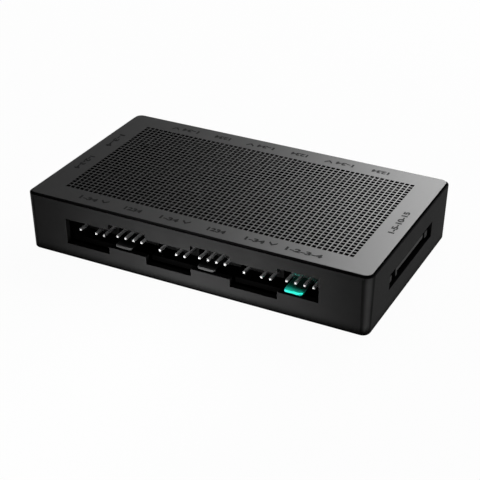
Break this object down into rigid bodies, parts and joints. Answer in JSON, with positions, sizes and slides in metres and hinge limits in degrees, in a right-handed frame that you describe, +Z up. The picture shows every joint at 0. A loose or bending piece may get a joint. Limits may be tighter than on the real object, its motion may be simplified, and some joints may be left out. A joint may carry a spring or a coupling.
{
  "type": "computer fan and light hub",
  "caption": "Flat black hub that shares fan and light signals inside a computer: grille cover, pin ports along front and back, signal inputs at one end and a blade power inlet at the other.",
  "frame": {"origin": "under the middle of the base, on the plane it rests on", "axes": "+X along the hub to the power inlet, -Y out of the front ports, +Z up"},
  "size_m": [0.1028, 0.06, 0.0178],
  "materials": {
    "tray_black": "fine matte texture",
    "cover_grey": "satin",
    "header_black": "satin",
    "header_teal": "satin",
    "pin_metal": "bright tin plate",
    "contact_gold": "gold plate",
    "board_black": "black solder mask",
    "chip_black": "moulded",
    "can_metal": "bare",
    "chip_grey": "glazed",
    "screw_steel": "black zinc",
    "magnet_nickel": "nickel plate"
  },
  "bodies": {
    "root": {"case_tray": "tray_black", "top_cover": "cover_grey", "circuit_board": "board_black", "power_inlet": "header_black", "power_contacts": "contact_gold", "fan_signal_chip": "chip_black", "light_signal_chip": "chip_black", "bulk_capacitors": "can_metal", "power_fuse": "chip_grey", "light_resistors": "chip_grey", "fan_capacitors": "chip_grey", "board_screws": "screw_steel", "base_magnets": "magnet_nickel", "front_light_1_header": "header_black", "front_light_1_pins": "pin_metal", "front_fan_1_header": "header_black", "front_fan_1_pins": "pin_metal", "back_light_1_header": "header_black", "back_light_1_pins": "pin_metal", "back_fan_1_header": "header_black", "back_fan_1_pins": "pin_metal", "front_light_2_header": "header_black", "front_light_2_pins": "pin_metal", "front_fan_2_header": "header_black", "front_fan_2_pins": "pin_metal", "back_light_2_header": "header_black", "back_light_2_pins": "pin_metal", "back_fan_2_header": "header_black", "back_fan_2_pins": "pin_metal", "front_light_3_header": "header_black", "front_light_3_pins": "pin_metal", "main_fan_header": "header_teal", "main_fan_pins": "pin_metal", "back_light_3_header": "header_black", "back_light_3_pins": "pin_metal", "back_fan_3_header": "header_black", "back_fan_3_pins": "pin_metal", "input_light_header": "header_black", "input_light_pins": "pin_metal", "input_fan_header": "header_black", "input_fan_pins": "pin_metal"}
  },
  "joints": []
}
